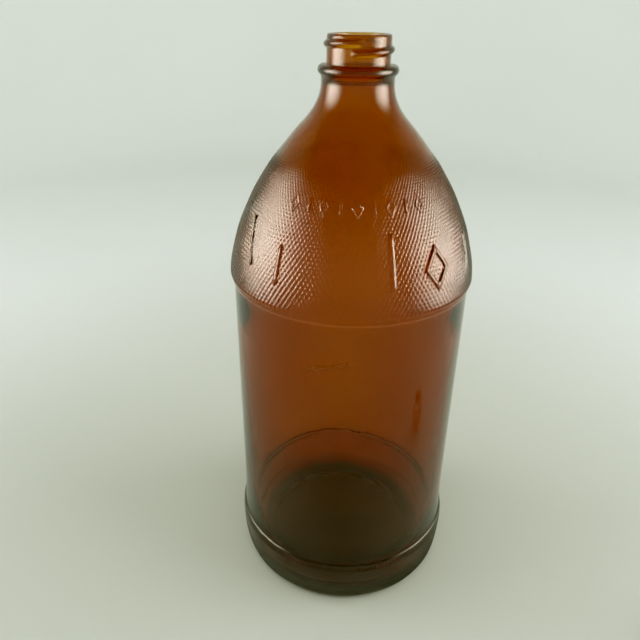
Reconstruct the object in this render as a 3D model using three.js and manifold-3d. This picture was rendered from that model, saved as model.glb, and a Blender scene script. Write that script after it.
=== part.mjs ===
// Amber glass quart bottle with a 24 mm screw finish, and its ribbed screw cap set down beside it.
//
// Millimetres, +Z up. The origin is on the bottle's axis at the surface that it stands on, and the
// side with the raised marks faces -Y. The cap lies mouth up in front of the bottle.

import * as THREE from 'three';
import { mergeVertices } from 'three/addons/utils/BufferGeometryUtils.js';
import Module from 'manifold-3d';

const wasm = await Module();
wasm.setup();

// Bottle, overall
const bottleHeight = 222;
const wall = 2.8;
const bottleSegments = 48;

// Base: a flat disc pushed up a little inside a bearing ring
const pushUpHeight = 1.2;
const pushUpRadius = 32;
const bearingInner = 34.5;
const bearingOuter = 39.6;
const floorHeight = 5;
const floorCorner = 8;
const floorSwell = 2.2;
const floorSwellRadius = 26;

// Heel band, label panel and shoulder
const cornerTop = 6.1;
const heelLow = { radius: 46.3, height: 9.5 };
const heelCrest = { radius: 46.8, height: 19.5 };
const heelEdge = { radius: 46.7, height: 23.1 };
const heelTop = { radius: 46.2, height: 23.6 };
const panelRadius = 45.65;
const panelBottom = 40;
const panelTop = 135.6;
const creaseRound = 2.4;
const creaseFrom = -35;
const creaseTo = -10;
const shoulderRadius = 46.35;
const shoulderStart = 138;
const shoulderSwell = 4.5;
const coneRadius = 20.57;
const coneHeight = 192.14;
const coneSlope = 0.9;
const coneReachDown = 25.97;
const coneReachUp = 2.22;

// Neck, transfer bead and screw finish
const neckRadius = 12.45;
const neckBottom = 207.3;
const neckReach = 7.6;
const beadCentre = { radius: 11.85, height: 210.9 };
const beadHalf = { radius: 1.9, height: 1.85 };
const beadFrom = -70;
const beadTo = 125;
const finishRadius = 10.75;
const boreRadius = 8.6;
const boreBottom = 212.5;
const neckBoreRadius = 9.6;
const neckBoreTop = 206.5;
const neckBoreRound = 0.3;
const rimOuterCorner = 0.9;
const rimInnerCorner = 0.45;

// Thread: one start, right-handed, 8 turns to the inch, a little over one turn long
const threadPitch = 3.175;
const threadRidge = 1.1;
const threadCentre = 10.8;
const threadSink = 1.3;
const threadFrom = -108;
const threadTo = 282;
const threadHeightAtZero = 217.3;

// Cap, measured from its flat top, which is the face it lies on
const capX = 158;
const capY = -60;
const capHeight = 11;
const capTopThickness = 1.3;
const capRadius = 13.4;
const capBandRadius = 13.7;
const capBandHeight = 1.3;
const capRoot = 12.1;
const capEdge = 0.9;
const capSegments = 60;
const ribCount = 48;
const ribDepth = 0.32;
const ribRingInner = 12.8;
const ribFoot = 0.42;
const ribCrest = 0.2;
const ribSink = 0.02;
const capChamfer = 0.3;
const capBandChamfer = 0.4;
const capThreadCentre = 11.65;
const capThreadRidge = 0.7;
const capThreadSink = 1.0;
const capThreadStart = 5.1;
const capThreadTurns = 1.25;

// Liner: a pulpboard disc and a coated paper facing, both pressed into the cap
const linerRadius = 11.75;
const backingThickness = 1;
const facingThickness = 0.4;
const gap = 0.3;

const materials = {
  glass: new THREE.MeshStandardMaterial({ color: 0x6b2c08, roughness: 0.08, metalness: 0 }),
  urea: new THREE.MeshStandardMaterial({ color: 0xdcd7cb, roughness: 0.35, metalness: 0 }),
  pulpboard: new THREE.MeshStandardMaterial({ color: 0xb9a585, roughness: 0.95, metalness: 0 }),
  facing: new THREE.MeshStandardMaterial({ color: 0xe8e2d2, roughness: 0.6, metalness: 0 }),
};

// A run of points along an elliptical arc; angles in degrees, 0 along +radius, 90 along +height.
function arc(centreR, centreZ, halfR, halfZ, from, to, steps) {
  const points = [];
  for (let i = 0; i <= steps; i++) {
    const angle = THREE.MathUtils.degToRad(from + ((to - from) * i) / steps);
    points.push(new THREE.Vector2(centreR + halfR * Math.cos(angle), centreZ + halfZ * Math.sin(angle)));
  }
  return points;
}

function bezier(a, b, c, d, steps) {
  const curve = new THREE.CubicBezierCurve(
    new THREE.Vector2(...a), new THREE.Vector2(...b), new THREE.Vector2(...c), new THREE.Vector2(...d));
  return curve.getPoints(steps);
}

// The same run of points moved to its left or, with a negative distance, to its right.
function inset(points, distance) {
  return points.map((point, i) => {
    const before = points[Math.max(i - 1, 0)];
    const after = points[Math.min(i + 1, points.length - 1)];
    const along = after.clone().sub(before).normalize();
    return new THREE.Vector2(point.x - along.y * distance, point.y + along.x * distance);
  });
}

function triangles(geometry) {
  geometry.deleteAttribute('normal');
  geometry.deleteAttribute('uv');
  const merged = mergeVertices(geometry, 1e-4);
  const index = merged.index.array;
  const kept = [];
  for (let i = 0; i < index.length; i += 3) {
    const [a, b, c] = [index[i], index[i + 1], index[i + 2]];
    if (a !== b && b !== c && c !== a) {
      kept.push(a, b, c);
    }
  }
  return { vertProperties: merged.attributes.position.array, triVerts: new Uint32Array(kept) };
}

function solid(geometry) {
  const mesh = new wasm.Mesh({ numProp: 3, ...triangles(geometry) });
  return new wasm.Manifold(mesh);
}

function geometryOf(manifold) {
  const mesh = manifold.getMesh();
  const geometry = new THREE.BufferGeometry();
  geometry.setAttribute('position', new THREE.BufferAttribute(new Float32Array(mesh.vertProperties), 3));
  geometry.setIndex(new THREE.BufferAttribute(new Uint32Array(mesh.triVerts), 1));
  geometry.computeVertexNormals();
  return geometry;
}

// Turns a profile of (radius, height) points about Z. It goes up the outside and down the inside.
function turned(points, segments) {
  return new THREE.LatheGeometry(points, segments).rotateX(Math.PI / 2);
}

// A helix whose two ends sink into the wall, so that the ridge fades out.
class ThreadPath extends THREE.Curve {
  constructor({ from, to, centre, sink, heightAtZero, fade = 22 }) {
    super();
    Object.assign(this, { from, to, centre, sink, heightAtZero, fade });
  }

  getPoint(t, target = new THREE.Vector3()) {
    const degrees = this.from + (this.to - this.from) * t;
    const angle = THREE.MathUtils.degToRad(degrees);
    const fromEnd = Math.min(degrees - this.from, this.to - degrees);
    const sunk = 1 - THREE.MathUtils.smoothstep(fromEnd, 0, this.fade);
    const radius = this.centre + this.sink * sunk;
    const height = this.heightAtZero + (threadPitch * degrees) / 360;
    return target.set(radius * Math.cos(angle), radius * Math.sin(angle), height);
  }
}

function threadRidgeGeometry(path, ridge, steps) {
  const section = new THREE.Shape(arc(0, 0, ridge, ridge, 0, 360, 8).slice(0, -1));
  return new THREE.ExtrudeGeometry(section, { steps, extrudePath: path, bevelEnabled: false });
}

// Outside of the bottle from the panel's crease up to the underside of the bead.
function shoulderCurve() {
  const swell = bezier(
    [shoulderRadius, shoulderStart],
    [shoulderRadius, shoulderStart + shoulderSwell],
    [coneRadius + coneSlope * coneReachDown, coneHeight - coneReachDown],
    [coneRadius, coneHeight], 12);
  const flare = bezier(
    [coneRadius, coneHeight],
    [coneRadius - coneSlope * coneReachUp, coneHeight + coneReachUp],
    [neckRadius, neckBottom - neckReach],
    [neckRadius, neckBottom], 6);
  return [...swell, ...flare.slice(1)];
}

function bottleGeometry() {
  const shoulder = shoulderCurve();
  const base = [
    new THREE.Vector2(0, pushUpHeight),
    new THREE.Vector2(pushUpRadius, pushUpHeight),
    new THREE.Vector2(bearingInner, 0),
    ...arc(bearingOuter, cornerTop, cornerTop, cornerTop, -90, 0, 5),
  ];
  const heel = [
    new THREE.Vector2(heelLow.radius, heelLow.height),
    new THREE.Vector2(heelCrest.radius, heelCrest.height),
    new THREE.Vector2(heelEdge.radius, heelEdge.height),
    new THREE.Vector2(heelTop.radius, heelTop.height),
    new THREE.Vector2(panelRadius, panelBottom),
  ];
  const crease = [
    new THREE.Vector2(panelRadius, panelTop),
    ...arc(shoulderRadius - creaseRound, shoulderStart, creaseRound, creaseRound,
      creaseFrom, creaseTo, 2),
  ];
  const finish = [
    ...arc(beadCentre.radius, beadCentre.height, beadHalf.radius, beadHalf.height,
      beadFrom, beadTo, 10),
    ...arc(finishRadius - rimOuterCorner, bottleHeight - rimOuterCorner,
      rimOuterCorner, rimOuterCorner, 0, 90, 3),
    ...arc(boreRadius + rimInnerCorner, bottleHeight - rimInnerCorner,
      rimInnerCorner, rimInnerCorner, 90, 180, 3),
    new THREE.Vector2(boreRadius, boreBottom),
    new THREE.Vector2(neckBoreRadius, neckBoreTop),
  ];
  const innerShoulder = inset(shoulder, wall)
    .filter((point) => point.y < neckBoreTop - neckBoreRound);
  const innerFloor = [
    new THREE.Vector2(panelRadius - wall, panelTop - 1),
    ...arc(panelRadius - wall - floorCorner, floorHeight + floorCorner,
      floorCorner, floorCorner, 0, -90, 6),
    new THREE.Vector2(floorSwellRadius, floorHeight),
    new THREE.Vector2(floorSwellRadius / 2, floorHeight + floorSwell / 2),
    new THREE.Vector2(0, floorHeight + floorSwell),
  ];
  const outside = [...base, ...heel, ...crease, ...shoulder, ...finish];
  const profile = [...outside, ...innerShoulder.reverse(), ...innerFloor];
  const path = new ThreadPath({
    from: threadFrom, to: threadTo, centre: threadCentre, sink: -threadSink,
    heightAtZero: threadHeightAtZero });
  const body = solid(turned(profile, bottleSegments));
  return geometryOf(body.add(solid(threadRidgeGeometry(path, threadRidge, 54))));
}

// Ring of fine upright ribs round the cap's skirt.
function ribRingGeometry() {
  const outline = [];
  for (let i = 0; i < ribCount; i++) {
    const step = (2 * Math.PI) / ribCount;
    const crest = capRadius + ribDepth;
    const foot = capRadius - ribSink;
    const corners = [[-ribFoot, foot], [-ribCrest, crest], [ribCrest, crest], [ribFoot, foot]];
    for (const [offset, radius] of corners) {
      const angle = (i + offset) * step;
      outline.push(new THREE.Vector2(radius * Math.cos(angle), radius * Math.sin(angle)));
    }
  }
  const ring = new THREE.Shape(outline);
  ring.holes.push(new THREE.Path(arc(0, 0, ribRingInner, ribRingInner, 0, 360, 48).slice(0, -1)));
  const depth = capHeight - capBandHeight - capEdge;
  const ribs = new THREE.ExtrudeGeometry(ring, { depth, bevelEnabled: false });
  return ribs.translate(0, 0, capEdge);
}

function capGeometry() {
  const profile = [
    new THREE.Vector2(0, 0),
    ...arc(capRadius - capEdge, capEdge, capEdge, capEdge, -90, 0, 4),
    new THREE.Vector2(capRadius, capHeight - capBandHeight - capChamfer),
    new THREE.Vector2(capBandRadius, capHeight - capBandHeight),
    new THREE.Vector2(capBandRadius, capHeight - capBandChamfer),
    new THREE.Vector2(capBandRadius - capBandChamfer, capHeight),
    new THREE.Vector2(capRoot + capChamfer, capHeight),
    new THREE.Vector2(capRoot, capHeight - capChamfer),
    new THREE.Vector2(capRoot, capTopThickness),
    new THREE.Vector2(0, capTopThickness),
  ];
  const path = new ThreadPath({
    from: 0, to: 360 * capThreadTurns, centre: capThreadCentre, sink: capThreadSink,
    heightAtZero: capThreadStart });
  const shell = solid(turned(profile, capSegments));
  const ribs = solid(ribRingGeometry());
  const thread = solid(threadRidgeGeometry(path, capThreadRidge, 60));
  return geometryOf(shell.add(ribs).add(thread));
}

function discGeometry(radius, thickness, bottom) {
  const profile = [
    new THREE.Vector2(0, bottom),
    new THREE.Vector2(radius, bottom),
    new THREE.Vector2(radius, bottom + thickness),
    new THREE.Vector2(0, bottom + thickness),
  ];
  return geometryOf(solid(turned(profile, capSegments)));
}

function named(name, geometry, material) {
  const mesh = new THREE.Mesh(geometry, material);
  mesh.name = name;
  return mesh;
}

const backingBottom = capTopThickness + gap;
const facingBottom = backingBottom + backingThickness + gap;

const closure = new THREE.Group();
closure.position.set(capX, capY, 0);
closure.add(named('cap_shell', capGeometry(), materials.urea));
const backing = discGeometry(linerRadius, backingThickness, backingBottom);
const facing = discGeometry(linerRadius, facingThickness, facingBottom);
closure.add(named('liner_backing', backing, materials.pulpboard));
closure.add(named('liner_facing', facing, materials.facing));

const group = new THREE.Group();
group.add(named('glass_bottle', bottleGeometry(), materials.glass));
group.add(closure);

export default group;
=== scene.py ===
"""Looks for the amber glass quart bottle and the screw cap that lies beside it.

The CAD part gives the frame. The bottle is rebuilt here from the same profile with the
stipple, the raised marks, the thread and the seeds in the glass; the cap and its liner keep
their CAD meshes. Lengths in the profile tables are millimetres from the bottle's axis and
from the surface it stands on, and angles are degrees with -90 towards the camera.
"""

import math
import random

import bmesh
import bpy
import numpy as np
from mathutils import Matrix, Vector


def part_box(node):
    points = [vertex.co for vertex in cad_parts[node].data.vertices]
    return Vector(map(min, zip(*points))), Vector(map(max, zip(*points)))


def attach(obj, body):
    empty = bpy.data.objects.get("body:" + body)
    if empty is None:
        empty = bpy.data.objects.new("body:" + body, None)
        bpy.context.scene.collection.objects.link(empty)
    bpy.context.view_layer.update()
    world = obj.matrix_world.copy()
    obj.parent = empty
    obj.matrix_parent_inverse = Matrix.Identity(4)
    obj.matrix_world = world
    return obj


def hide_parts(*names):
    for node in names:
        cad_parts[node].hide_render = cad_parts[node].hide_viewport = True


MM = 0.001
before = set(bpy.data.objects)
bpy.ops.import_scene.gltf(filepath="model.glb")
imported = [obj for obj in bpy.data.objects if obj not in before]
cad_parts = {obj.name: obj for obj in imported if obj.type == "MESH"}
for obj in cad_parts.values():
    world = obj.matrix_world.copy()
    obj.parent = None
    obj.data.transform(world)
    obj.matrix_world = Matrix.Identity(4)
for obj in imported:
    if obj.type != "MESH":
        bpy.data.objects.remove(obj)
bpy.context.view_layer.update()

# ---------------------------------------------------------------- sizes, in millimetres
HEIGHT = 222.0
WALL = 2.8
THIN_SHOULDER = 0.45  # how much thinner the blown wall is at the shoulder
PUSH_UP = (32.0, 1.2)  # radius and height of the disc under the base
BEARING = (34.5, 39.6)  # inner and outer radius of the ring it stands on
CORNER = 6.1
HEEL = ((46.3, 9.5), (46.8, 19.5), (46.72, 22.2))
HEEL_EDGE = (46.4, 23.0, 0.3)  # centre and rounding
HEEL_TOP = ((46.3, 23.5), (46.1, 24.3), (45.9, 28.0))
PANEL_R, PANEL_BOTTOM, PANEL_TOP = 45.65, 40.0, 135.7
CREASE = ((45.72, 136.15), (45.98, 136.5), (46.25, 136.95), (46.33, 137.5))
SHOULDER_R, SHOULDER_Z = 46.35, 138.0
SHOULDER = ((SHOULDER_R, SHOULDER_Z), (SHOULDER_R, 142.5), (43.943, 166.17), (20.57, 192.14))
FLARE = ((20.57, 192.14), (18.572, 194.36), (12.45, 199.7), (12.45, 207.3))
BEAD = (11.85, 210.9, 1.9, 1.85)  # centre and half sizes
FINISH_R, BORE_R, NECK_BORE_R = 10.75, 8.6, 9.6
NECK_BORE_TOP = 206.5
RIM_OUT, RIM_IN = 0.9, 0.45
THREAD = dict(pitch=3.175, start=-108.0, end=282.0, z0=217.3, half=1.25, rise=1.12, fade=22.0)
FLOOR_Z, FLOOR_R, FLOOR_SWELL, FLOOR_SWELL_R = 4.8, 7.5, 3.4, 33.0

DOTS = 168  # stipple dots in one row round the bottle
ROW_PITCH = 0.866  # distance between rows, in spacings of the dots along a row
STIPPLE_RISE = 0.75
STIPPLE_TOP = 186.0
SCRATCH = dict(from_deg=-106.1, sweep_deg=20.5, z=118.2, climb=1.0, bend=3.9, half=0.32)
SEEDS = 70
SEED_BAND = (40.0, 205.0)
SEAM_RISE, SEAM_WIDTH = 0.10, 0.012  # millimetres and radians
PLAIN_STEP = 1.3  # between rings where the glass is plain
COLS = 4 * DOTS


# ---------------------------------------------------------------- curves
def arc(cr, cz, hr, hz, a, b, n):
    t = np.radians(np.linspace(a, b, n + 1))
    return [(cr + hr * math.cos(k), cz + hz * math.sin(k)) for k in t]


def bezier(pts, n):
    a, b, c, d = (np.array(p) for p in pts)
    out = []
    for t in np.linspace(0, 1, n + 1):
        u = 1 - t
        p = u**3 * a + 3 * u * u * t * b + 3 * u * t * t * c + t**3 * d
        out.append((float(p[0]), float(p[1])))
    return out


def resample(pts, step):
    """Points along the polyline pts, step apart, which is a number or a function of the radius."""
    p = np.array(pts, float)
    seg = np.hypot(*np.diff(p, axis=0).T)
    s = np.concatenate([[0], np.cumsum(seg)])
    out, at = [tuple(p[0])], 0.0
    while True:
        at += step(out[-1][0]) if callable(step) else step
        if at >= s[-1]:
            break
        out.append((float(np.interp(at, s, p[:, 0])), float(np.interp(at, s, p[:, 1]))))
    return out


def inset(pts, d):
    """The polyline moved d to its left."""
    p = np.array(pts, float)
    t = np.gradient(p, axis=0)
    t /= np.hypot(t[:, 0], t[:, 1])[:, None]
    return [(float(x - ty * d), float(y + tx * d)) for (x, y), (tx, ty) in zip(p, t)]


def smooth(x, a, b):
    t = np.clip((np.asarray(x, float) - a) / (b - a), 0, 1)
    return t * t * (3 - 2 * t)


# ---------------------------------------------------------------- bottle
def ring(r, z, cols, kind="plain", row=0):
    return dict(r=r, z=z, cols=cols, kind=kind, row=row)


def stipple(angle, info):
    """Height of the staggered dots at each column of a ring. info["row"] counts rows of dots."""
    across = np.arange(info["cols"]) * DOTS / info["cols"]
    h = 0.5 + 0.5 * np.cos(2 * math.pi * across) * math.cos(math.pi * info["row"])
    z = info["z"]
    if z > 100:
        edge = smooth(z, SHOULDER_Z, 139.6) * (1 - smooth(z, STIPPLE_TOP - 7, STIPPLE_TOP))
    else:
        edge = smooth(z, 1.0, 3.0) * (1 - smooth(z, 20.0, 21.8))
    size = min(1.0, info["r"] / SHOULDER_R) ** 0.7
    uneven = 0.85 + 0.15 * np.sin(angle * 7 + z * 0.31) * np.sin(angle * 3 - z * 0.17)
    return STIPPLE_RISE * h * edge * size * uneven


def thread(angle, info):
    """Height of the thread's ridge over the finish."""
    deg = np.degrees(angle)
    deg = np.where(deg > 180, deg - 360, deg)
    best = np.zeros_like(deg)
    for turn in (-1, 0, 1):
        d = deg + 360 * turn
        inside = np.minimum(d - THREAD["start"], THREAD["end"] - d)
        live = smooth(inside, 0, THREAD["fade"])
        u = np.abs(info["z"] - THREAD["z0"] - THREAD["pitch"] * d / 360) / THREAD["half"]
        crest = THREAD["rise"] * np.clip(1 - u * u, 0, 1) ** 0.7
        best = np.maximum(best, crest * live)
    return best


def seam(angle):
    """The mould's parting line, a hair proud on each side."""
    off = np.abs(angle)
    for side in (math.pi, 2 * math.pi):
        off = np.minimum(off, np.abs(angle - side))
    return SEAM_RISE * np.exp(-((off / SEAM_WIDTH) ** 2))


SHAPES = {"stipple": stipple, "thread": thread}


def half_row(r):
    """Half the distance between rows of dots at radius r, as each row is two rings of mesh."""
    return ROW_PITCH * 2 * math.pi * r / DOTS / 2


def floor_height(r):
    """The inner floor swells a little over the push-up."""
    return FLOOR_Z + FLOOR_SWELL * float(1 - smooth(r, 0, FLOOR_SWELL_R))


def bottle_rings():
    """All rings from the underside's centre up the outside, over the rim and down the inside."""
    mid = COLS // 4
    few = COLS // 8
    rings = [ring(r, PUSH_UP[1], few) for r in (8.0, 16.0, 24.0, 30.0, PUSH_UP[0])]
    rings += [ring(33.2, 0.75, few), ring(BEARING[0], 0.0, few)]
    rings += [ring(37.0, 0.0, mid), ring(BEARING[1], 0.0, mid)]
    base = arc(BEARING[1], CORNER, CORNER, CORNER, -90, 0, 24)[2:] + list(HEEL)
    for i, (r, z) in enumerate(resample(base, half_row)):
        rings.append(ring(r, z, COLS, "stipple", i / 2))
    r, z, rounding = HEEL_EDGE
    rings += [ring(r, z, mid) for r, z in arc(r, z, rounding, rounding, 0, 70, 5)]
    rings += [ring(r, z, mid) for r, z in HEEL_TOP]
    rings += [ring(PANEL_R + 0.05, 33.0, mid), ring(PANEL_R, PANEL_BOTTOM, mid)]
    rings += [ring(PANEL_R, z, mid) for z in (72.0, 104.0, 132.0, PANEL_TOP)]
    rings += [ring(r, z, mid) for r, z in CREASE]
    outer = bezier(SHOULDER, 400)
    low = [p for p in outer if p[1] <= STIPPLE_TOP + 0.5]
    for i, (r, z) in enumerate(resample(low, half_row)):
        rings.append(ring(r, z, COLS, "stipple", i / 2))
    top_z = rings[-1]["z"]
    smooth_part = [p for p in outer if p[1] > top_z + 0.6] + bezier(FLARE, 60)[1:]
    for r, z in resample(smooth_part, PLAIN_STEP):
        rings.append(ring(r, z, mid))
    rings += [ring(r, z, mid) for r, z in arc(*BEAD, -70, 125, 16)]
    top = HEIGHT - RIM_OUT
    for z in np.arange(212.75, top + 0.01, 0.25):
        rings.append(ring(FINISH_R, float(z), mid, "thread"))
    rings += [ring(r, z, mid) for r, z in arc(FINISH_R - RIM_OUT, top, RIM_OUT, RIM_OUT, 15, 90, 5)]
    rings += [
        ring(r, z, mid)
        for r, z in arc(BORE_R + RIM_IN, HEIGHT - RIM_IN, RIM_IN, RIM_IN, 90, 180, 5)
    ]
    inside = [(BORE_R, 217.0), (BORE_R, 213.0), (BORE_R + 0.12, 211.5), (BORE_R + 0.45, 209.5)]
    inside += [(NECK_BORE_R - 0.2, 207.8), (NECK_BORE_R, NECK_BORE_TOP)]
    shoulder = inset(bezier(SHOULDER, 30) + bezier(FLARE, 14)[1:], WALL)
    shoulder = [p for p in shoulder if p[1] < NECK_BORE_TOP - 0.3][::-1]
    inside += shoulder
    wall_r = PANEL_R - WALL
    inside += [(wall_r, z) for z in (134.6, 118.0, 100.0, 82.0, 64.0, 46.0, 30.0)]
    inside += arc(wall_r - FLOOR_R, FLOOR_Z + FLOOR_R, FLOOR_R, FLOOR_R, 0, -90, 8)
    inside += [(r, floor_height(r)) for r in (32.0, 28.0, 24.0, 20.0, 16.0, 11.0, 6.0, 2.5)]
    rings += [ring(r, z, few, "inside") for r, z in inside]
    return rings


def waviness(angle, z):
    """Uneven thickness of the blown wall, read on its inner face only."""
    big = np.sin(2 * angle + z * 0.021 + 0.6) * 0.2 + np.sin(5 * angle - z * 0.047) * 0.11
    fine = np.sin(11 * angle + z * 0.09 + 1.3) * 0.025
    thinner = THIN_SHOULDER * smooth(z, 134, 150) * (1 - smooth(z, 196, 206))
    return (big + fine) * smooth(z, 8, 30) * (1 - 0.6 * smooth(z, 170, 205)) - thinner


def fan(coarse, few, fine, many):
    """Triangles between a ring of few columns and one of a multiple of them."""
    step = many // few
    out = []
    for j in range(few):
        here, there = coarse + j, coarse + (j + 1) % few
        at = [fine + (j * step + k) % many for k in range(step + 1)]
        mid = (step + 1) // 2
        out += [(here, at[k + 1], at[k]) for k in range(mid)]
        out.append((here, there, at[mid]))
        out += [(there, at[k + 1], at[k]) for k in range(mid, step)]
    return out


def bottle_mesh():
    """The glass without its marks: rings joined by quads, or by fans where their columns differ."""
    rings = bottle_rings()
    pts = np.array([(k["r"], k["z"]) for k in rings])
    tan = np.gradient(pts, axis=0)
    tan /= np.maximum(np.hypot(tan[:, 0], tan[:, 1]), 1e-9)[:, None]
    normal = np.stack([tan[:, 1], -tan[:, 0]], 1)
    verts, starts = [], []
    count = 0
    for k, (nr, nz) in zip(rings, normal):
        angle = np.arange(k["cols"]) * 2 * math.pi / k["cols"]
        if k["kind"] in SHAPES:
            h = SHAPES[k["kind"]](angle, k)
        elif k["kind"] == "inside":
            h = waviness(angle, k["z"])
        else:
            h = np.zeros_like(angle)
        if k["kind"] != "inside" and k["r"] > 9.9 and k["z"] > 1:
            h = h + seam(angle)
        r = k["r"] + nr * h
        z = k["z"] + nz * h
        verts.append(np.stack([r * np.cos(angle), r * np.sin(angle), z], 1))
        starts.append(count)
        count += k["cols"]
    faces = []
    for (a, ka), (b, kb) in zip(zip(starts, rings), zip(starts[1:], rings[1:])):
        na, nb = ka["cols"], kb["cols"]
        if na == nb:
            faces += [(a + j, a + (j + 1) % na, b + (j + 1) % na, b + j) for j in range(na)]
        elif na < nb:
            faces += fan(a, na, b, nb)
        else:
            faces += [f[::-1] for f in fan(b, nb, a, na)]
    low, high = count, count + 1
    points = np.vstack(verts + [[[0, 0, PUSH_UP[1]]], [[0, 0, FLOOR_Z + FLOOR_SWELL]]])
    first, last = rings[0]["cols"], rings[-1]["cols"]
    for j in range(first):
        faces.append((low, (j + 1) % first, j))
    for j in range(last):
        faces.append((high, starts[-1] + j, starts[-1] + (j + 1) % last))
    mesh = bpy.data.meshes.new("glass_body")
    mesh.from_pydata((points * MM).tolist(), [], faces)
    mesh.polygons.foreach_set("use_smooth", [True] * len(mesh.polygons))
    mesh.update()
    return mesh


# ---------------------------------------------------------------- raised marks
PANEL = [(PANEL_R, PANEL_BOTTOM), (PANEL_R, PANEL_TOP)]
OUTLINE = np.array(PANEL + bezier(SHOULDER, 400) + bezier(FLARE, 100)[1:])


def on_glass(deg, z, rise):
    """Point on the bottle's outside at that angle and height, moved out by rise."""
    r = np.interp(z, OUTLINE[:, 1], OUTLINE[:, 0])
    above, below = (np.interp(z + d, OUTLINE[:, 1], OUTLINE[:, 0]) for d in (0.5, -0.5))
    n = Vector((1.0, below - above)).normalized()
    r, z = r + n[0] * rise, z + n[1] * rise
    a = math.radians(deg)
    return Vector((r * math.cos(a), r * math.sin(a), z))


def ridge(bm, path, width, rise, closed=False, sink=0.7, draft=0.28):
    """A raised bar along path, a list of (angle, height) points on the shoulder."""
    n = len(path)
    at = [on_glass(a, z, 0) for a, z in path]
    out = [(on_glass(a, z, 1) - p).normalized() for (a, z), p in zip(path, at)]
    half = [(-1, -sink, 0), (-1, 0.08, 0), (-1, rise, draft)]
    section = half + [(-s, h, d) for s, h, d in reversed(half)]
    loops = []
    for i in range(n):
        before = at[(i - 1) % n] if closed or i > 0 else at[i]
        after = at[(i + 1) % n] if closed or i < n - 1 else at[i]
        along = (after - before).normalized()
        side = along.cross(out[i]).normalized()
        miter = 1.0
        if closed:
            e = (at[i] - before).normalized().dot((after - at[i]).normalized())
            miter = 1 / max(0.55, math.sqrt((1 + e) / 2))
        loop = []
        for s, h, d in section:
            p = at[i] + out[i] * h + side * s * (width / 2 - d) * miter
            if not closed and d and i in (0, n - 1):
                p += along * (d if i == 0 else -d)
            loop.append(bm.verts.new(p))
        loops.append(loop)
    m = len(section)
    pairs = n if closed else n - 1
    for i in range(pairs):
        a, b = loops[i], loops[(i + 1) % n]
        for j in range(m):
            k = (j + 1) % m
            bm.faces.new((a[j], b[j], b[k], a[k]))
    if not closed:
        bm.faces.new(loops[0])
        bm.faces.new(loops[-1][::-1])


def line(a, b, n):
    return [(a[0] + (b[0] - a[0]) * i / n, a[1] + (b[1] - a[1]) * i / n) for i in range(n + 1)]


def lozenge(deg, z, half_deg, half_z, n):
    corners = [(deg, z - half_z), (deg + half_deg, z), (deg, z + half_z), (deg - half_deg, z)]
    path = []
    for i in range(4):
        path += line(corners[i], corners[(i + 1) % 4], n)[:-1]
    return path


def marks_mesh():
    """Plain bars, a dash and lozenges in a band on the front of the shoulder."""
    bm = bmesh.new()
    ridge(bm, line((-140.5, 150.0), (-148.5, 165.5), 8), 1.7, 0.75)
    ridge(bm, line((-123.6, 147.2), (-123.6, 160.0), 6), 1.9, 0.75)
    ridge(bm, line((-103.5, 154.4), (-97.0, 154.4), 4), 1.2, 0.3)
    ridge(bm, line((-71.7, 147.8), (-71.7, 165.8), 8), 2.2, 0.75)
    ridge(bm, lozenge(-49.0, 153.2, 6.0, 6.2, 4), 1.9, 0.85, closed=True)
    ridge(bm, line((-24.5, 146.5), (-20.0, 160.0), 7), 1.9, 0.75)
    small = dict(draft=0.15, sink=0.5)
    for i in range(9):
        deg = -122.5 + 8.8 * i
        if i % 2:
            ridge(bm, line((deg, 170.9), (deg, 175.2), 2), 1.0, 0.5, **small)
        else:
            ridge(bm, lozenge(deg, 173.1, 2.5, 2.2, 1), 0.85, 0.5, closed=True, **small)
    bmesh.ops.scale(bm, vec=(MM, MM, MM), verts=bm.verts)
    bmesh.ops.recalc_face_normals(bm, faces=bm.faces)
    for f in bm.faces:
        f.smooth = True
    mesh = bpy.data.meshes.new("marks")
    bm.to_mesh(mesh)
    bm.free()
    return mesh


def add_object(name, mesh):
    o = bpy.data.objects.new(name, mesh)
    bpy.context.scene.collection.objects.link(o)
    return o


def join_marks(body, marks):
    """Unites the marks with the glass, so that the bottle stays one closed body."""
    cut = body.modifiers.new("marks", "BOOLEAN")
    cut.operation = "UNION"
    cut.solver = "MANIFOLD"
    cut.object = marks
    dg = bpy.context.evaluated_depsgraph_get()
    made = bpy.data.meshes.new_from_object(body.evaluated_get(dg))
    body.modifiers.clear()
    old = body.data
    body.data = made
    bpy.data.meshes.remove(old)
    bpy.data.objects.remove(marks)
    made.polygons.foreach_set("use_smooth", [True] * len(made.polygons))
    made.update()


def add_seeds(body):
    """Small bubbles in the glass: closed shells that face inwards, inside the wall."""
    rng = random.Random(7)
    bm = bmesh.new()
    bm.from_mesh(body.data)
    for i in range(SEEDS):
        at = on_glass(rng.uniform(0, 360), rng.uniform(*SEED_BAND), -WALL * 0.4) * MM
        size = rng.uniform(0.15, 0.38) * MM
        stretch = Matrix.Diagonal((1, 1, rng.uniform(1.0, 1.9), 1))
        place = Matrix.Translation(at) @ stretch
        made = bmesh.ops.create_icosphere(bm, subdivisions=2, radius=size, matrix=place)
        faces = list({f for v in made["verts"] for f in v.link_faces})
        bmesh.ops.reverse_faces(bm, faces=faces)
        for f in faces:
            f.smooth = True
    bm.to_mesh(body.data)
    bm.free()


# ---------------------------------------------------------------- materials
def new_material(name):
    m = bpy.data.materials.new(name)
    m.use_nodes = True
    nt = m.node_tree
    nt.nodes.clear()
    out = nt.nodes.new("ShaderNodeOutputMaterial")
    bsdf = nt.nodes.new("ShaderNodeBsdfPrincipled")
    nt.links.new(bsdf.outputs["BSDF"], out.inputs["Surface"])
    return m, nt, bsdf, out


def feed(nt, socket, value):
    """Links the socket to value if that is a node's output, and sets it otherwise."""
    if isinstance(value, bpy.types.NodeSocket):
        nt.links.new(value, socket)
    else:
        socket.default_value = value


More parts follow.
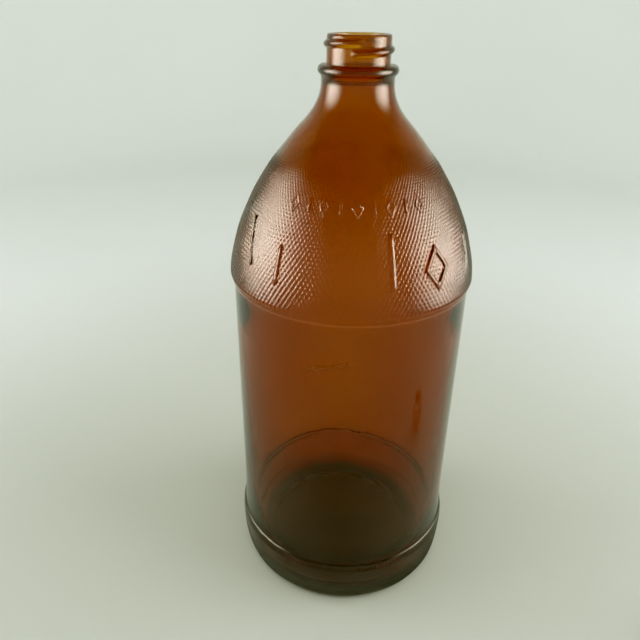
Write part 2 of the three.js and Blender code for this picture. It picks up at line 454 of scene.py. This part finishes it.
def node(nt, kind, inputs=None, **settings):
    n = nt.nodes.new(kind)
    for key, value in settings.items():
        setattr(n, key, value)
    for key, value in (inputs or {}).items():
        feed(nt, n.inputs[key], value)
    return n


def noise(nt, coord, scale, detail=3.0, rough=0.55):
    settings = {"Vector": coord, "Scale": scale, "Detail": detail, "Roughness": rough}
    return node(nt, "ShaderNodeTexNoise", settings).outputs["Fac"]


def ramp(nt, fac, stops):
    n = node(nt, "ShaderNodeValToRGB", {"Fac": fac})
    e = n.color_ramp.elements
    while len(e) < len(stops):
        e.new(0.5)
    for stop, (pos, value) in zip(e, stops):
        stop.position = pos
        stop.color = value if isinstance(value, tuple) else (value, value, value, 1)
    return n.outputs["Color"]


def math_node(nt, op, a, b=None, c=None, clamp=False):
    n = nt.nodes.new("ShaderNodeMath")
    n.operation = op
    n.use_clamp = clamp
    for i, v in enumerate((a, b, c)):
        if v is not None:
            feed(nt, n.inputs[i], v)
    return n.outputs[0]


def vector_math(nt, op, a, b=None):
    inputs = {0: a} if b is None else {0: a, 1: b}
    return node(nt, "ShaderNodeVectorMath", inputs, operation=op).outputs


def mix_color(nt, fac, a, b):
    """Colour a where fac is 0 and b where it is 1; a Mix node's colour sockets are 6, 7 and 2."""
    return node(nt, "ShaderNodeMix", {0: fac, 6: a, 7: b}, data_type="RGBA").outputs[2]


def bump(nt, bsdf, height, strength, distance):
    n = node(nt, "ShaderNodeBump", {"Height": height, "Strength": strength, "Distance": distance})
    nt.links.new(n.outputs["Normal"], bsdf.inputs["Normal"])


def between(nt, value, low, high):
    """0 at low and 1 at high, eased; low may be the larger."""
    settings = {"Value": value, "From Min": low, "From Max": high, "To Min": 0.0, "To Max": 1.0}
    return node(nt, "ShaderNodeMapRange", settings, interpolation_type="SMOOTHSTEP").outputs[0]


def scratch_mask(nt, coord):
    """1 along the long scratch that climbs across the front of the panel, 0 elsewhere."""
    axes = node(nt, "ShaderNodeSeparateXYZ", {"Vector": coord}).outputs
    angle = math_node(nt, "ARCTAN2", axes["Y"], axes["X"])
    start, sweep = math.radians(SCRATCH["from_deg"]), math.radians(SCRATCH["sweep_deg"])
    t = math_node(nt, "DIVIDE", math_node(nt, "SUBTRACT", angle, start), sweep)
    squared = math_node(nt, "MULTIPLY", t, t)
    rise = math_node(nt, "MULTIPLY_ADD", squared, SCRATCH["bend"] * MM, SCRATCH["z"] * MM)
    path = math_node(nt, "MULTIPLY_ADD", t, SCRATCH["climb"] * MM, rise)
    off = math_node(nt, "ABSOLUTE", math_node(nt, "SUBTRACT", axes["Z"], path))
    half = math_node(nt, "MULTIPLY_ADD", between(nt, t, 0.12, 0.0), 0.3 * MM, SCRATCH["half"] * MM)
    thin = math_node(nt, "SUBTRACT", 1.0, math_node(nt, "DIVIDE", off, half), clamp=True)
    ends = math_node(nt, "MULTIPLY", between(nt, t, -0.02, 0.01), between(nt, t, 1.0, 0.6))
    return math_node(nt, "MULTIPLY", math_node(nt, "MULTIPLY", thin, ends), 2.0, clamp=True)


AMBER = (0.850, 0.615, 0.0, 1)
AMBER_DENSITY = 1300.0


def glass_material():
    m, nt, bsdf, out = new_material("amber_glass")
    coord = node(nt, "ShaderNodeTexCoord").outputs["Object"]
    bsdf.inputs["Base Color"].default_value = (1, 1, 1, 1)
    bsdf.inputs["Transmission Weight"].default_value = 1.0
    bsdf.inputs["IOR"].default_value = 1.52
    smudge = noise(nt, coord, 38.0, 5.0, 0.6)
    wear = noise(nt, coord, 420.0, 3.0, 0.6)
    base = ramp(nt, smudge, [(0.42, 0.012), (0.75, 0.055)])
    rough = math_node(nt, "ADD", base, math_node(nt, "MULTIPLY", wear, 0.02))
    height_z = node(nt, "ShaderNodeSeparateXYZ", {"Vector": coord}).outputs["Z"]
    neck = between(nt, height_z, 0.190, 0.212)
    foot = between(nt, height_z, 0.014, 0.009)
    neck_haze = math_node(nt, "MULTIPLY", neck, 0.13)
    foot_haze = math_node(nt, "MULTIPLY", foot, 0.16)
    haze = math_node(nt, "ADD", neck_haze, foot_haze)
    haze = math_node(nt, "MULTIPLY", haze, math_node(nt, "ADD", smudge, 0.5))
    rough = math_node(nt, "ADD", rough, haze)
    scratch = scratch_mask(nt, coord)
    rough = math_node(nt, "ADD", rough, math_node(nt, "MULTIPLY", scratch, 0.5))
    nt.links.new(rough, bsdf.inputs["Roughness"])
    ripple = noise(nt, coord, 60.0, 2.0, 0.5)
    fine = noise(nt, coord, 900.0, 2.0, 0.5)
    height = math_node(nt, "ADD", ripple, math_node(nt, "MULTIPLY", fine, 0.04))
    height = math_node(nt, "MULTIPLY", height, between(nt, height_z, 0.008, 0.03))
    height = math_node(nt, "SUBTRACT", height, math_node(nt, "MULTIPLY", scratch, 0.5))
    bump(nt, bsdf, height, 0.22, 0.0006)
    absorb = node(nt, "ShaderNodeVolumeAbsorption", {"Color": AMBER, "Density": AMBER_DENSITY})
    nt.links.new(absorb.outputs["Volume"], out.inputs["Volume"])
    return m


def urea_material():
    m, nt, bsdf, out = new_material("white_urea")
    coord = node(nt, "ShaderNodeTexCoord").outputs["Object"]
    cloud = noise(nt, coord, 90.0, 4.0)
    speck = noise(nt, coord, 1600.0, 2.0)
    color = ramp(nt, cloud, [(0.3, (0.66, 0.63, 0.55, 1)), (0.72, (0.74, 0.72, 0.65, 1))])
    grime = ramp(nt, speck, [(0.60, 0.0), (0.74, 1.0)])
    color = mix_color(nt, math_node(nt, "MULTIPLY", grime, 0.35), color, (0.38, 0.33, 0.24, 1))
    nt.links.new(color, bsdf.inputs["Base Color"])
    wear = ramp(nt, noise(nt, coord, 160.0, 5.0, 0.65), [(0.35, 0.26), (0.7, 0.48)])
    nt.links.new(wear, bsdf.inputs["Roughness"])
    bump(nt, bsdf, noise(nt, coord, 700.0, 3.0), 0.25, 0.0002)
    return m


def pulpboard_material():
    m, nt, bsdf, out = new_material("pulpboard")
    coord = node(nt, "ShaderNodeTexCoord").outputs["Object"]
    fibre = noise(nt, coord, 1400.0, 6.0, 0.75)
    color = ramp(nt, fibre, [(0.3, (0.36, 0.29, 0.20, 1)), (0.7, (0.58, 0.49, 0.35, 1))])
    nt.links.new(color, bsdf.inputs["Base Color"])
    bsdf.inputs["Roughness"].default_value = 0.93
    bump(nt, bsdf, fibre, 0.6, 0.0002)
    return m


def paper_material(centre):
    """Waxed paper with the ring that the rim has pressed and stained into it."""
    m, nt, bsdf, out = new_material("coated_paper")
    coord = node(nt, "ShaderNodeTexCoord").outputs["Object"]
    from_centre = vector_math(nt, "SUBTRACT", coord, tuple(centre))["Vector"]
    flat = vector_math(nt, "MULTIPLY", from_centre, (1.0, 1.0, 0.0))["Vector"]
    r = vector_math(nt, "LENGTH", flat)["Value"]
    wobble = math_node(nt, "MULTIPLY", noise(nt, coord, 260.0, 3.0), 0.0012)
    from_rim = math_node(nt, "SUBTRACT", math_node(nt, "ADD", r, wobble), 0.0097)
    band = math_node(nt, "ABSOLUTE", from_rim)
    mark = between(nt, band, 0.0013, 0.0004)
    tones = [(0.3, (0.70, 0.65, 0.52, 1)), (0.7, (0.84, 0.80, 0.69, 1))]
    paper = ramp(nt, noise(nt, coord, 500.0, 5.0), tones)
    color = mix_color(nt, math_node(nt, "MULTIPLY", mark, 0.6), paper, (0.42, 0.33, 0.19, 1))
    stain = ramp(nt, noise(nt, coord, 120.0, 4.0), [(0.55, 0.0), (0.75, 0.5)])
    color = mix_color(nt, stain, color, (0.60, 0.50, 0.34, 1))
    nt.links.new(color, bsdf.inputs["Base Color"])
    bsdf.inputs["Roughness"].default_value = 0.5
    pressed = math_node(nt, "MULTIPLY", mark, 1.5)
    fibre = math_node(nt, "SUBTRACT", noise(nt, coord, 1800.0, 4.0), pressed)
    bump(nt, bsdf, fibre, 0.35, 0.00015)
    return m


def floor_material():
    m, nt, bsdf, out = new_material("backdrop_paper")
    coord = node(nt, "ShaderNodeTexCoord").outputs["Object"]
    cloud = noise(nt, coord, 3.0, 4.0)
    color = ramp(nt, cloud, [(0.3, (0.665, 0.69, 0.655, 1)), (0.7, (0.685, 0.71, 0.675, 1))])
    # Painted shade: from 0.42 m in towards the bottle's axis the floor colour turns darker and
    # yellower, fully so inside 0.10 m. It stands in for the bottle's shadow and the amber light
    # that passes through the glass.
    painted_shade_near_bottle = between(nt, vector_math(nt, "LENGTH", coord)["Value"], 0.42, 0.10)
    color = mix_color(nt, painted_shade_near_bottle, color, (0.535, 0.555, 0.500, 1))
    nt.links.new(color, bsdf.inputs["Base Color"])
    bsdf.inputs["Roughness"].default_value = 0.85
    bsdf.inputs["Specular IOR Level"].default_value = 0.25
    return m


def dress(name, material):
    """Paints a CAD node without touching its mesh."""
    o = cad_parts[name]
    o.data.materials.clear()
    o.data.materials.append(material)


# ---------------------------------------------------------------- build
body = add_object("bottle_glass", bottle_mesh())
marks = add_object("bottle_marks", marks_mesh())
join_marks(body, marks)
add_seeds(body)
body.data.materials.clear()
body.data.materials.append(glass_material())
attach(body, "bottle")
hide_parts("glass_bottle")

cap_low, cap_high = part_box("cap_shell")
cap_centre = (cap_low + cap_high) / 2
dress("cap_shell", urea_material())
dress("liner_backing", pulpboard_material())
dress("liner_facing", paper_material(cap_centre))


# ---------------------------------------------------------------- stage
def bowl(flat, curve, high, segments=96):
    """Floor that curves up into a backdrop all round, so that every side has the same ground."""
    profile = [(0.0, 0.0), (flat * 0.5, 0.0)]
    profile += arc(flat, curve, curve, curve, -90, 0, 16) + [(flat + curve, high)]
    turns = [k * 2 * math.pi / segments for k in range(segments)]
    bm = bmesh.new()
    rows = []
    for r, z in profile:
        if r == 0:
            rows.append([bm.verts.new((0, 0, z))])
            continue
        rows.append([bm.verts.new((r * math.cos(t), r * math.sin(t), z)) for t in turns])
    for a, b in zip(rows, rows[1:]):
        for j in range(segments):
            k = (j + 1) % segments
            if len(a) == 1:
                bm.faces.new((a[0], b[j], b[k]))
            else:
                bm.faces.new((a[j], b[j], b[k], a[k]))
    for f in bm.faces:
        f.smooth = True
    mesh = bpy.data.meshes.new("backdrop")
    bm.to_mesh(mesh)
    bm.free()
    return add_object("backdrop", mesh)


backdrop = bowl(0.75, 0.35, 1.3)
backdrop.location = (0, 0, -0.0001)
backdrop.data.materials.append(floor_material())


def soft_box(name, at, target, width, height, power, seen_in, color=(1, 1, 1)):
    """An area light. seen_in is "shine" for a card that only shows in reflections, or "wash" for
    one that only lights the surfaces it falls on."""
    data = bpy.data.lights.new(name, "AREA")
    data.shape = "RECTANGLE"
    data.size, data.size_y = width, height
    data.energy = power
    data.color = color
    o = bpy.data.objects.new(name, data)
    bpy.context.scene.collection.objects.link(o)
    o.location = at
    o.rotation_mode = "QUATERNION"
    o.rotation_quaternion = (Vector(target) - Vector(at)).to_track_quat("-Z", "Y")
    o.visible_camera = False
    o.visible_glossy = seen_in != "wash"
    o.visible_diffuse = seen_in != "shine"
    o.visible_transmission = False
    return o


def fade_edges(light, core):
    """Makes an area light fade from full strength, at core from its middle, to dark at its rim."""
    light.data.use_nodes = True
    nt = light.data.node_tree
    place = node(nt, "ShaderNodeNewGeometry").outputs["Parametric"]
    off = vector_math(nt, "ADD", place, (-0.5, -0.5, 0))["Vector"]
    far = vector_math(nt, "LENGTH", off)["Value"]
    nt.links.new(between(nt, far, 0.5, core), nt.nodes["Emission"].inputs["Strength"])


CARD_AIM = (0.0, 0.0, 0.20)
CARD_TINT = (1.0, 0.95, 0.84)
CARD_HEIGHT, CARD_CORE = 0.58, 0.06
for name, at, width, power in (
    ("card_left", (-0.40, -0.07, 0.225), 0.58, 12.5),
    ("card_right", (0.40, -0.05, 0.225), 0.56, 11.0),
):
    card = soft_box(name, at, CARD_AIM, width, CARD_HEIGHT, power, "shine", CARD_TINT)
    fade_edges(card, CARD_CORE)
soft_box("fill_left", (-0.9, -0.1, 0.45), (0, 0, 0.1), 0.8, 0.7, 4.5, "wash")
soft_box("fill_right", (0.9, -0.1, 0.45), (0, 0, 0.1), 0.8, 0.7, 7.0, "wash")
soft_box("back_wash", (-0.1, 0.05, 1.0), (-0.1, 1.05, 0.65), 0.9, 0.5, 3.8, "wash")
soft_box("front_wash", (0.0, -0.5, 0.9), (0, -0.35, 0.0), 0.9, 0.4, 1.9, "wash")

world = bpy.data.worlds.new("room")
bpy.context.scene.world = world
world.use_nodes = True
sky = world.node_tree.nodes["Background"]
sky.inputs["Color"].default_value = (0.95, 1.0, 0.97, 1)
sky.inputs["Strength"].default_value = 0.27

# ---------------------------------------------------------------- camera
SENSOR_MM, LENS_MM = 36.0, 33.646331
CAMERA_AT = Vector((0.0, -0.219222, 0.230831))
PITCH, ROLL, YAW = (math.radians(v) for v in (27.955, 0.793, -3.082))
camera_data = bpy.data.cameras.new("camera")
camera = bpy.data.objects.new("camera", camera_data)
bpy.context.scene.collection.objects.link(camera)
level = math.cos(PITCH)
forward = Vector((math.sin(YAW) * level, math.cos(YAW) * level, -math.sin(PITCH)))
right = forward.cross(Vector((0, 0, 1))).normalized()
up = right.cross(forward)
right, up = (
    right * math.cos(ROLL) + up * math.sin(ROLL),
    up * math.cos(ROLL) - right * math.sin(ROLL),
)
turned = Matrix((right, up, -forward)).transposed().to_4x4()
camera.matrix_world = Matrix.Translation(CAMERA_AT) @ turned
camera_data.sensor_width = SENSOR_MM
camera_data.lens = LENS_MM
camera_data.clip_start = 0.01
camera_data.clip_end = 10.0
bpy.context.scene.camera = camera

scene = bpy.context.scene
scene.view_settings.view_transform = "Standard"
scene.view_settings.look = "None"
scene.view_settings.use_curve_mapping = True
tone = scene.view_settings.curve_mapping
TOE = ((0.013, 0.0), (0.03, 0.014), (0.08, 0.068), (0.25, 0.246))
WARM_SHADOWS = ((0.02, 0.012), (0.05, 0.036), (0.13, 0.105), (0.35, 0.31), (0.65, 0.64))
for curve, points in ((tone.curves[3], TOE), (tone.curves[2], WARM_SHADOWS)):
    for x, y in points:
        curve.points.new(x, y)
    for point in curve.points:
        point.handle_type = "VECTOR"
tone.update()
